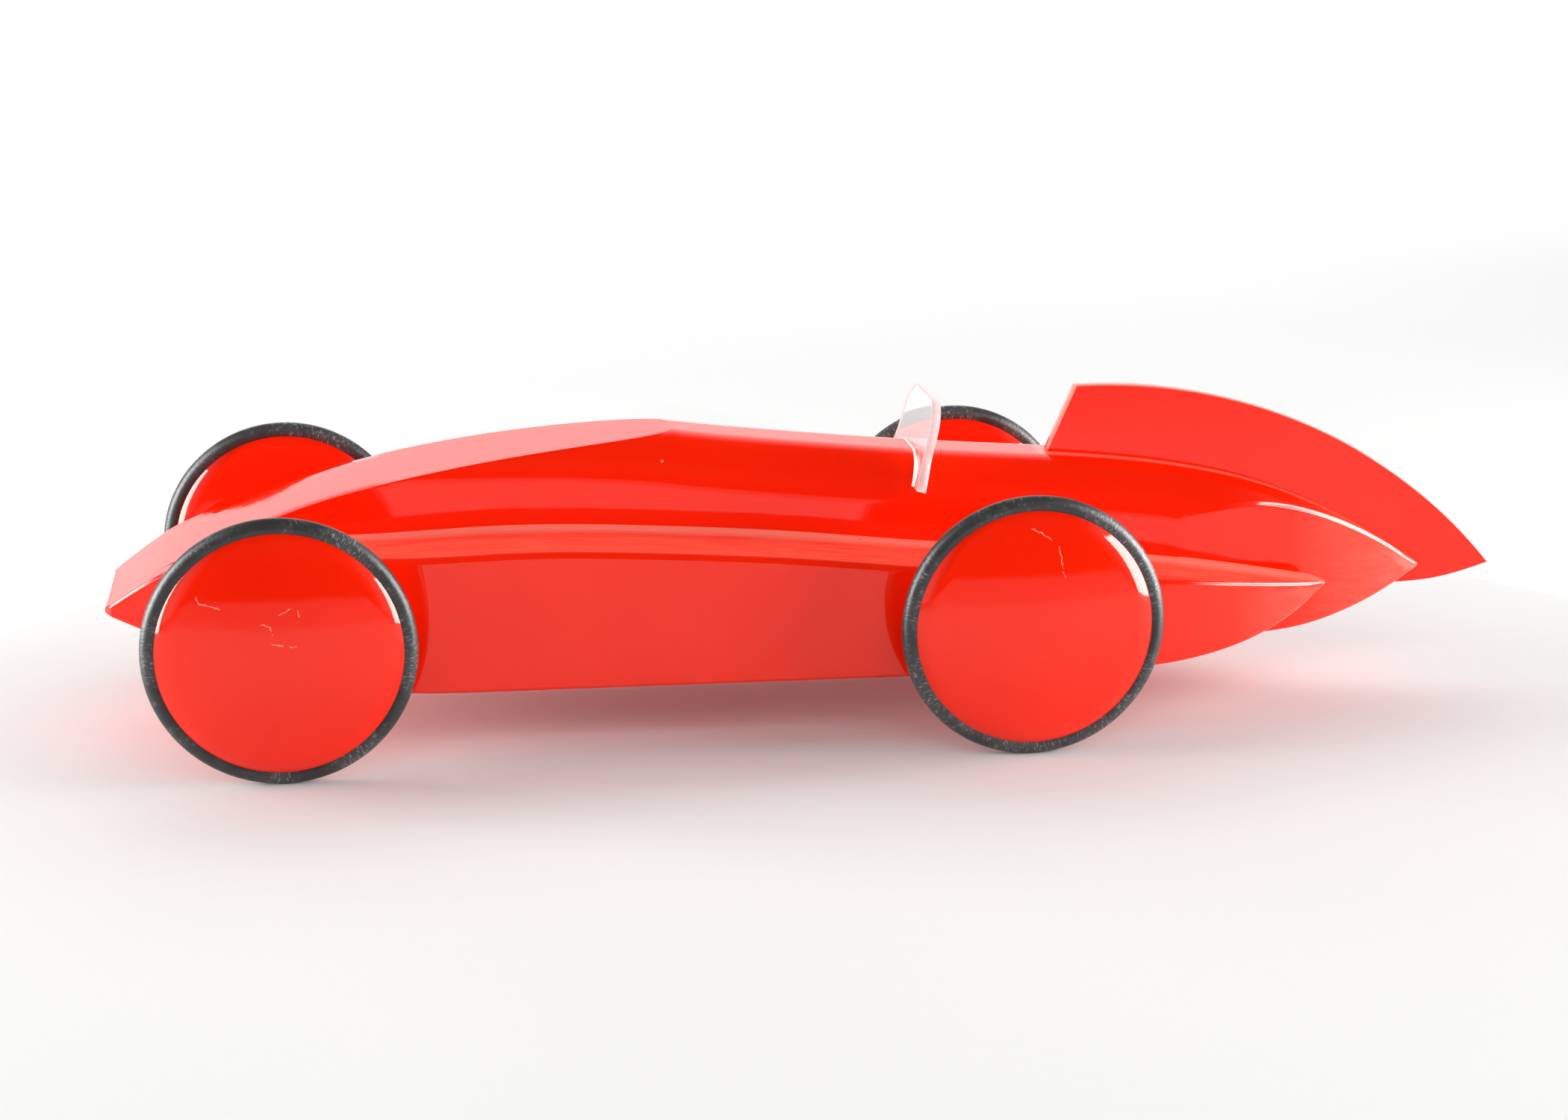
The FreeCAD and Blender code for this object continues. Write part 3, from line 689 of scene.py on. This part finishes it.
def noise(tree, vector, scale, detail=2.0, rough=0.5):
    made = node(tree, "ShaderNodeTexNoise", {"Vector": vector, "Scale": scale, "Detail": detail,
                                             "Roughness": rough})
    return made.outputs["Fac"]


def ramp(tree, fac, stops):
    made = node(tree, "ShaderNodeValToRGB", {"Fac": fac})
    elements = made.color_ramp.elements
    while len(elements) < len(stops):
        elements.new(0.5)
    for element, (position, colour) in zip(elements, stops):
        element.position = position
        element.color = colour if len(colour) == 4 else (*colour, 1)
    return made.outputs["Color"]


def mix(tree, fac, a, b):
    made = node(tree, "ShaderNodeMix", data_type="RGBA")
    for key, value in ((0, fac), (6, a), (7, b)):
        if isinstance(value, bpy.types.NodeSocket):
            tree.links.new(value, made.inputs[key])
        else:
            made.inputs[key].default_value = value if key == 0 else (*value, 1)
    return made.outputs[2]


def bump(tree, height, strength, distance, normal=None):
    inputs = {"Height": height, "Strength": strength, "Distance": distance}
    if normal:
        inputs["Normal"] = normal
    return node(tree, "ShaderNodeBump", inputs).outputs["Normal"]


def object_coords(tree):
    return node(tree, "ShaderNodeTexCoord").outputs["Object"]


def stretched(tree, vector, scale):
    """Coordinates scaled differently along each axis, for streaks and grain."""
    return node(tree, "ShaderNodeMapping", {"Vector": vector, "Scale": scale}).outputs["Vector"]


def threshold(tree, value, low, high, rise=True):
    """0 below low and 1 above high, or the other way round."""
    made = node(tree, "ShaderNodeMapRange",
                {"Value": value, "From Min": low, "From Max": high,
                 "To Min": 0.0 if rise else 1.0, "To Max": 1.0 if rise else 0.0},
                interpolation_type="SMOOTHSTEP")
    return made.outputs["Result"]


def math_node(tree, operation, a, b=0.0, c=0.0):
    return node(tree, "ShaderNodeMath", {0: a, 1: b, 2: c}, operation=operation).outputs["Value"]


def vector_math(tree, operation, inputs, output="Vector"):
    return node(tree, "ShaderNodeVectorMath", inputs, operation=operation).outputs[output]


SEEN_ALONG_Y = (1.0, 0.0, 1.0)


def wobble(tree, coords):
    """Coordinates shifted a little from place to place, so that straight lines waver."""
    noisy = node(tree, "ShaderNodeTexNoise", {"Vector": coords, "Scale": 900.0})
    centred = vector_math(tree, "SUBTRACT", {0: noisy.outputs["Color"], 1: (0.5,) * 3})
    shift = vector_math(tree, "SCALE", {0: centred, "Scale": 0.0009})
    return vector_math(tree, "ADD", {0: coords, 1: shift})


def distance_to(tree, place, start, end):
    """Distance from a place to a straight piece of scratch, seen along Y."""
    way = end - start
    gap = vector_math(tree, "SUBTRACT", {0: place, 1: start})
    dot = vector_math(tree, "DOT_PRODUCT", {0: gap, 1: way / way.length_squared}, "Value")
    share = node(tree, "ShaderNodeClamp", {"Value": dot}).outputs["Result"]
    foot = vector_math(tree, "SCALE", {0: way, "Scale": share})
    away = vector_math(tree, "SUBTRACT", {0: gap, 1: foot})
    flat = vector_math(tree, "MULTIPLY", {0: away, 1: SEEN_ALONG_Y})
    return vector_math(tree, "LENGTH", {0: flat}, "Value")


def scratch_mask(tree, coords, paths, width):
    """1 along each path of points in metres, seen along Y, from thin wavering lines."""
    place = wobble(tree, vector_math(tree, "MULTIPLY", {0: coords, 1: SEEN_ALONG_Y}))
    nearest = 1.0
    for path in paths:
        for start, end in zip(path, path[1:]):
            length = distance_to(tree, place, Vector(start), Vector(end))
            nearest = math_node(tree, "MINIMUM", length, nearest)
    return threshold(tree, nearest, width * 0.35, width, rise=False)


SCRATCH_WIDTH = 0.00015


def dusty_red(tree, coords):
    """Red that drifts slightly, with a few pale dust nibs."""
    broad = noise(tree, coords, 28.0, 3.0)
    colour = ramp(tree, broad, [(0.3, (0.90, 0.0125, 0.0003)), (0.7, (0.95, 0.0155, 0.0006))])
    cells = node(tree, "ShaderNodeTexVoronoi", {"Vector": coords, "Scale": 150.0})
    lonely = threshold(tree, cells.outputs["Color"], 0.86, 0.88)
    dot = threshold(tree, cells.outputs["Distance"], 0.03, 0.07, rise=False)
    return mix(tree, math_node(tree, "MULTIPLY", lonely, dot), colour, (0.95, 0.28, 0.18))


def dust_and_sheen_strength(tree, coords):
    """The haze layer, broken up by long wipe streaks. It is partly dust haze and partly painted
    highlight.
    """
    streak = noise(tree, stretched(tree, coords, (70.0, 420.0, 420.0)), 1.0, 4.0, 0.65)
    haze = node(tree, "ShaderNodeAttribute", attribute_name="haze").outputs["Fac"]
    streaky = node(tree, "ShaderNodeMapRange", {"Value": streak, "From Min": 0.35,
                                                "From Max": 0.75, "To Min": 0.3, "To Max": 0.6})
    return math_node(tree, "MULTIPLY", haze, streaky.outputs["Result"])


def seam_highlight_and_chips(tree, coords, colour):
    """Painted highlight in paler red along the seam layer, chipped to bare wood here and there."""
    seam = node(tree, "ShaderNodeAttribute", attribute_name="seam").outputs["Fac"]
    lit = math_node(tree, "MULTIPLY", threshold(tree, seam, 0.0, 0.9), 0.7)
    # Painted highlight: a pale red mixed in along the seam layer.
    colour = mix(tree, lit, colour, (0.97, 0.25, 0.18))
    along = stretched(tree, coords, (95.0, 900.0, 900.0))
    flakes = threshold(tree, noise(tree, along, 1.0, 3.0, 0.7), 0.66, 0.69)
    chip = math_node(tree, "MULTIPLY", flakes, threshold(tree, seam, 0.35, 0.6))
    return mix(tree, chip, colour, (0.42, 0.21, 0.08))


def lacquer(name, scratches=()):
    """Thick sprayed red lacquer: vivid colour, wet-looking surface with faint orange peel, dust
    nibs, fine wipe marks, and where a mesh carries those layers, pale haze that is partly dust
    and partly painted highlight, painted highlights along seams and edges, and bare chips."""
    material, tree, shader = new_material(name)
    coords = object_coords(tree)
    dust_and_sheen = dust_and_sheen_strength(tree, coords)
    # Pale red of the haze layer: partly dust, partly painted highlight.
    colour = mix(tree, dust_and_sheen, dusty_red(tree, coords), (0.97, 0.22, 0.15))
    colour = seam_highlight_and_chips(tree, coords, colour)
    wipe = noise(tree, coords, 300.0, 4.0, 0.65)
    rough = math_node(tree, "MULTIPLY_ADD", threshold(tree, wipe, 0.3, 0.9), 0.06, 0.04)
    rough = math_node(tree, "ADD", rough, math_node(tree, "MULTIPLY", dust_and_sheen, 0.12))
    peel = noise(tree, coords, 300.0, 1.0)
    swell = noise(tree, coords, 95.0, 1.0)
    normal = bump(tree, swell, 0.30, 0.00012, bump(tree, peel, 0.10, 0.00006))
    if scratches:
        marks = scratch_mask(tree, coords, scratches, SCRATCH_WIDTH)
        patchy = threshold(tree, noise(tree, coords, 700.0, 2.0), 0.30, 0.5)
        marks = math_node(tree, "MULTIPLY", marks, patchy)
        colour = mix(tree, math_node(tree, "MULTIPLY", marks, 0.6), colour, (1.0, 0.42, 0.32))
        rough = math_node(tree, "MAXIMUM", rough, math_node(tree, "MULTIPLY", marks, 0.5))
    tree.links.new(colour, shader.inputs["Base Color"])
    tree.links.new(rough, shader.inputs["Roughness"])
    tree.links.new(normal, shader.inputs["Normal"])
    shader.inputs["IOR"].default_value = 1.5
    shader.inputs["Specular Tint"].default_value = (1.0, 1.0, 0.92, 1)
    return material


def rubber():
    """Satin black cord with fine pale cracks across it and a dusty bloom."""
    material, tree, shader = new_material("black_rubber")
    uv = node(tree, "ShaderNodeUVMap", uv_map="unrolled").outputs["UV"]
    coords = object_coords(tree)
    cracks = noise(tree, stretched(tree, uv, (420.0, 9.0, 1.0)), 1.0, 3.0, 0.65)
    crack_mask = threshold(tree, cracks, 0.54, 0.62)
    bloom = noise(tree, coords, 60.0, 5.0, 0.7)
    worn = threshold(tree, bloom, 0.42, 0.62)
    tint = mix(tree, worn, (0.022, 0.022, 0.023), (0.048, 0.047, 0.048))
    pale = math_node(tree, "MULTIPLY", crack_mask, math_node(tree, "MULTIPLY", worn, 0.9))
    tree.links.new(mix(tree, pale, tint, (0.24, 0.235, 0.235)), shader.inputs["Base Color"])
    grain = noise(tree, coords, 1500.0, 3.0, 0.6)
    rough = math_node(tree, "ADD", math_node(tree, "MULTIPLY", grain, 0.25), 0.26)
    tree.links.new(rough, shader.inputs["Roughness"])
    cord_normal = bump(tree, cracks, 0.6, 0.00016)
    tree.links.new(bump(tree, grain, 0.35, 0.00005, cord_normal), shader.inputs["Normal"])
    shader.inputs["Specular IOR Level"].default_value = 0.55
    return material


def acrylic():
    """Clear cast sheet with hairline wipe marks."""
    material, tree, shader = new_material("clear_acrylic")
    coords = object_coords(tree)
    haze = noise(tree, coords, 240.0, 4.0, 0.6)
    tree.links.new(math_node(tree, "MULTIPLY", threshold(tree, haze, 0.4, 0.9), 0.05),
                   shader.inputs["Roughness"])
    shader.inputs["Base Color"].default_value = (0.995, 0.99, 0.99, 1)
    shader.inputs["Transmission Weight"].default_value = 0.9
    shader.inputs["IOR"].default_value = 1.49
    fine = noise(tree, coords, 900.0, 2.0)
    tree.links.new(bump(tree, fine, 0.04, 0.00003), shader.inputs["Normal"])
    return material


def frosted_acrylic():
    """Sawn and sanded edge of the clear sheet: milky, with fine saw lines."""
    material, tree, shader = new_material("frosted_acrylic")
    along = stretched(tree, object_coords(tree), (250.0, 2200.0, 2200.0))
    saw = noise(tree, along, 1.0, 3.0, 0.6)
    colour = ramp(tree, saw, [(0.3, (0.84, 0.70, 0.69)), (0.7, (0.92, 0.80, 0.79))])
    tree.links.new(colour, shader.inputs["Base Color"])
    rough = math_node(tree, "ADD", math_node(tree, "MULTIPLY", saw, 0.3), 0.3)
    tree.links.new(rough, shader.inputs["Roughness"])
    tree.links.new(bump(tree, saw, 0.4, 0.00005), shader.inputs["Normal"])
    shader.inputs["Transmission Weight"].default_value = 0.45
    shader.inputs["IOR"].default_value = 1.49
    return material


def dried_glue():
    """Milky glue, smooth but uneven."""
    material, tree, shader = new_material("dried_glue")
    lumps = noise(tree, object_coords(tree), 700.0, 3.0)
    colour = ramp(tree, lumps, [(0.3, (0.93, 0.87, 0.80)), (0.7, (0.98, 0.96, 0.93))])
    tree.links.new(colour, shader.inputs["Base Color"])
    tree.links.new(threshold(tree, lumps, -0.6, 1.4), shader.inputs["Roughness"])
    tree.links.new(bump(tree, lumps, 0.3, 0.0001), shader.inputs["Normal"])
    return material


def metal(name, light, dark, rough, stretch):
    """Drawn or plated metal with streaks along the chosen axis."""
    material, tree, shader = new_material(name)
    streaks = noise(tree, stretched(tree, object_coords(tree), stretch), 1.0, 3.0)
    tree.links.new(ramp(tree, streaks, [(0.3, dark), (0.7, light)]), shader.inputs["Base Color"])
    shade = ramp(tree, streaks, [(0.3, (rough,) * 3), (0.7, (rough + 0.15,) * 3)])
    tree.links.new(shade, shader.inputs["Roughness"])
    tree.links.new(bump(tree, streaks, 0.15, 0.00003), shader.inputs["Normal"])
    shader.inputs["Metallic"].default_value = 1.0
    return material


def moulded(name, light, dark, rough):
    """Moulded plastic with a fine spark-eroded grain."""
    material, tree, shader = new_material(name)
    coords = object_coords(tree)
    cloud = noise(tree, coords, 60.0, 3.0)
    tree.links.new(ramp(tree, cloud, [(0.3, dark), (0.7, light)]), shader.inputs["Base Color"])
    grain = noise(tree, coords, 2200.0, 2.0)
    shade = ramp(tree, grain, [(0.3, (rough,) * 3), (0.7, (rough + 0.12,) * 3)])
    tree.links.new(shade, shader.inputs["Roughness"])
    tree.links.new(bump(tree, grain, 0.3, 0.00004), shader.inputs["Normal"])
    return material


def wood():
    """Plain beech with grain along the dowel."""
    material, tree, shader = new_material("beech_wood")
    grain = noise(tree, stretched(tree, object_coords(tree), (900.0, 60.0, 900.0)), 1.0, 4.0)
    colour = ramp(tree, grain, [(0.3, (0.42, 0.24, 0.11)), (0.7, (0.62, 0.40, 0.21))])
    tree.links.new(colour, shader.inputs["Base Color"])
    tree.links.new(bump(tree, grain, 0.3, 0.0001), shader.inputs["Normal"])
    tree.links.new(ramp(tree, grain, [(0.3, (0.5,) * 3), (0.7, (0.7,) * 3)]),
                   shader.inputs["Roughness"])
    return material


# ---------------------------------------------------------------- pieces

def scratches_on(axle_x, paths):
    """Paths on a wheel, given in millimetres towards the tail and up from its centre."""
    return [[(axle_x + across * MM, 0.0, AXLE_Z + up * MM) for across, up in path]
            for path in paths]


HOOK = [(-16.0, 12.9), (-15.5, 11.8), (-13.2, 11.2), (-11.4, 10.6)]
SCUFFS = [[(-3.2, 7.4), (-1.6, 6.9), (-1.1, 5.2)], [(0.2, 9.2), (2.6, 10.4)],
          [(4.0, 10.1), (4.2, 8.8)], [(-1.4, 3.5), (0.9, 2.8)], [(2.3, 2.5), (3.6, 2.7)]]
LONG_SCRATCH = [[(-1.5, 21.7), (0.3, 20.9), (2.5, 19.4)],
                [(4.1, 17.9), (4.6, 15.4), (4.8, 13.9), (5.3, 11.6)]]

red = lacquer("red_lacquer")
scratched = {
    "front_wheel_left": lacquer("scratched_lacquer_front",
                                scratches_on(FRONT_X, [HOOK] + SCUFFS)),
    "rear_wheel_left": lacquer("scratched_lacquer_rear", scratches_on(REAR_X, LONG_SCRATCH)),
}
black = rubber()
clear = acrylic()
frosted = frosted_acrylic()
add_piece("fuselage_shell", fuselage_mesh(), "car_body", red, ["fuselage"])
add_piece("tail_fin_plate", fin_mesh(), "car_body", red, ["tail_fin"])
screen = add_piece("windscreen_plate", screen_mesh(), "car_body", clear,
                   ["windscreen"])
screen.data.materials.append(frosted)
for polygon in screen.data.polygons:
    polygon.material_index = 0 if len(polygon.vertices) > 4 else 1
glue = dried_glue()
for place, is_front in (("front", True), ("back", False)):
    add_piece("windscreen_glue_" + place, glue_mesh(is_front), "car_body", glue)
for label, sign in SIDES:
    add_piece("side_pod_%s_shell" % label, pod_mesh(sign), "car_body", red,
              ["side_pod_" + label])
    for axle, axle_x in (("front", FRONT_X), ("rear", REAR_X)):
        wheel = "%s_wheel_%s" % (axle, label)
        ring = "%s_tyre_%s" % (axle, label)
        add_piece(wheel + "_disc", wheel_mesh(axle_x, sign), axle + "_wheelset",
                  scratched.get(wheel, red), [wheel])
        add_piece(ring + "_ring", tyre_mesh(axle_x, sign), axle + "_wheelset",
                  black, [ring])

steel = metal("bright_steel", (0.66, 0.66, 0.67), (0.50, 0.50, 0.52), 0.22, (1500.0, 60.0, 1500.0))
spring_steel = metal("spring_steel", (0.26, 0.28, 0.33), (0.16, 0.17, 0.21), 0.3,
                     (1500.0, 300.0, 1500.0))
zinc = metal("zinc_plate", (0.74, 0.74, 0.70), (0.60, 0.60, 0.56), 0.28, (400.0, 400.0, 400.0))
brass = metal("turned_brass", (0.80, 0.58, 0.26), (0.66, 0.45, 0.18), 0.22, (200.0, 2500.0, 200.0))
nylon = moulded("black_nylon", (0.030, 0.030, 0.032), (0.020, 0.020, 0.022), 0.38)
case = moulded("case_plastic", (0.045, 0.045, 0.048), (0.030, 0.030, 0.033), 0.42)
acetal = moulded("white_acetal", (0.78, 0.77, 0.72), (0.70, 0.69, 0.64), 0.30)
beech = wood()
FINISHES = {
    "bright_steel": steel, "spring_steel": spring_steel, "zinc_screw": zinc,
    "brass_bush": brass, "nylon_sleeve": nylon, "case_plastic": case, "gear_plastic": acetal,
    "beech_dowel": beech, "red_lacquer": red, "black_rubber": black, "clear_acrylic": clear,
}
for row in frame["record"]["subparts"]:
    cad = frame["nodes"][row["node"]]
    cad.data.materials.clear()
    cad.data.materials.append(FINISHES[row["material_slot"]])

# ---------------------------------------------------------------- floor, light, camera


FLOOR_REACH = 4.0
FRONT_EDGE = (-0.33, -0.235)
# Span over which the painted pool of light on the far floor comes in.
FAR_GLOW_SPAN = (0.25, 0.8)


def white_paper():
    """Matt white, faintly uneven, light grey in front of its front edge, and whiter far away: a painted
    pool of light, not a change in the paper.
    """
    material, tree, shader = new_material("white_paper")
    coords = object_coords(tree)
    tone = noise(tree, coords, 6.0, 2.0)
    near = ramp(tree, tone, [(0.3, (0.75, 0.755, 0.75)), (0.7, (0.77, 0.775, 0.77))])
    depth = node(tree, "ShaderNodeSeparateXYZ", {"Vector": coords}).outputs["Y"]
    # Painted pool of light: the paper turns whiter far behind the car.
    white = mix(tree, threshold(tree, depth, *FAR_GLOW_SPAN), near, (0.93, 0.932, 0.93))
    colour = mix(tree, threshold(tree, depth, *FRONT_EDGE), (0.50, 0.50, 0.50), white)
    tree.links.new(colour, shader.inputs["Base Color"])
    shader.inputs["Roughness"].default_value = 0.9
    shader.inputs["Specular IOR Level"].default_value = 0.1
    return material


def studio_floor():
    """Table top that reaches past every edge of the picture."""
    row = np.linspace(-FLOOR_REACH, FLOOR_REACH, 9)
    rings = [[Vector((x, y, 0.0)) for x in row] for y in row]
    mesh = skin("studio_floor", rings, closed=False, caps=False)
    mesh.materials.append(white_paper())
    sheet = bpy.data.objects.new("studio_floor", mesh)
    bpy.context.scene.collection.objects.link(sheet)


def softbox(name, place, target, width, height, radiance, mirrored=True, lights=True):
    """Rectangular light: a mirrored one shows in reflections, and one that lights falls on
    surfaces."""
    light = bpy.data.lights.new(name, "AREA")
    light.shape = "RECTANGLE"
    light.size = width
    light.size_y = height
    light.energy = radiance * math.pi * width * height
    box = bpy.data.objects.new(name, light)
    box.location = place
    direction = Vector(target) - Vector(place)
    box.rotation_mode = "QUATERNION"
    box.rotation_quaternion = direction.to_track_quat("-Z", "Y")
    box.visible_camera = False
    box.visible_glossy = mirrored
    box.visible_diffuse = lights
    bpy.context.scene.collection.objects.link(box)


LIGHT_Z = 0.17
LEFT_X = -0.58
RIGHT_X = 0.56


def studio_light():
    """A softbox on each side of the table, split into the part that is mirrored and the part
    that lights, and two large fills."""
    right = (RIGHT_X, -0.16, LIGHT_Z)
    softbox("left_softbox", (LEFT_X, -0.04, LIGHT_Z), (0.0, -0.04, LIGHT_Z), 0.34, 0.34, 18.0,
            lights=False)
    softbox("left_fill", (LEFT_X, 0.04, LIGHT_Z), (0.0, 0.04, LIGHT_Z), 0.34, 0.34, 12.0,
            mirrored=False)
    softbox("right_softbox", right, (0.0, -0.16, LIGHT_Z), 0.50, 0.36, 18.0, lights=False)
    softbox("right_fill", right, (0.0, -0.16, LIGHT_Z), 0.50, 0.34, 11.4, mirrored=False)
    softbox("back_fill", (0.0, 1.5, 1.3), (0.0, 1.5, 0.0), 4.0, 1.9, 1.6, mirrored=False)
    softbox("front_fill", (0.0, -1.5, 1.0), (0.0, 0.0, 0.0), 2.0, 1.0, 2.05, mirrored=False)


def studio_room():
    """A white room behind and at the sides, dim above and in front."""
    world = bpy.data.worlds.new("studio")
    world.use_nodes = True
    tree = world.node_tree
    way = node(tree, "ShaderNodeTexCoord").outputs["Generated"]
    axes = node(tree, "ShaderNodeSeparateXYZ", {"Vector": way})
    sideways = math_node(tree, "ABSOLUTE", axes.outputs["X"])
    open_side = math_node(tree, "MAXIMUM", axes.outputs["Y"], sideways)
    glow = node(tree, "ShaderNodeMapRange", {"Value": open_side, "From Min": 0.5,
                                             "From Max": 0.95, "To Min": 0.04, "To Max": 1.15},
                interpolation_type="SMOOTHSTEP")
    background = tree.nodes["Background"]
    background.inputs["Color"].default_value = (1.0, 1.0, 1.0, 1)
    tree.links.new(glow.outputs["Result"], background.inputs["Strength"])
    bpy.context.scene.world = world


CAMERA_STATION = Vector((18.03, -646.0, 204.24))
CAMERA_YAW = math.radians(-8.068)
CAMERA_PITCH = math.radians(14.807)
CAMERA_ROLL = math.radians(0.2425)
CAMERA_LENS = 69.94


def camera():
    """Long lens from a little above, turned slightly towards the tail."""
    lens = bpy.data.cameras.new("camera")
    lens.lens = CAMERA_LENS
    lens.sensor_width = 36.0
    lens.sensor_fit = "HORIZONTAL"
    made = bpy.data.objects.new("camera", lens)
    turn = (Matrix.Rotation(CAMERA_YAW, 4, "Z") @ Matrix.Rotation(math.pi / 2 - CAMERA_PITCH, 4, "X")
            @ Matrix.Rotation(CAMERA_ROLL, 4, "Z"))
    made.matrix_world = Matrix.Translation(frame_point(*CAMERA_STATION)) @ turn
    bpy.context.scene.collection.objects.link(made)
    bpy.context.scene.camera = made


studio_floor()
studio_light()
studio_room()
camera()
bpy.context.scene.view_settings.view_transform = "Standard"
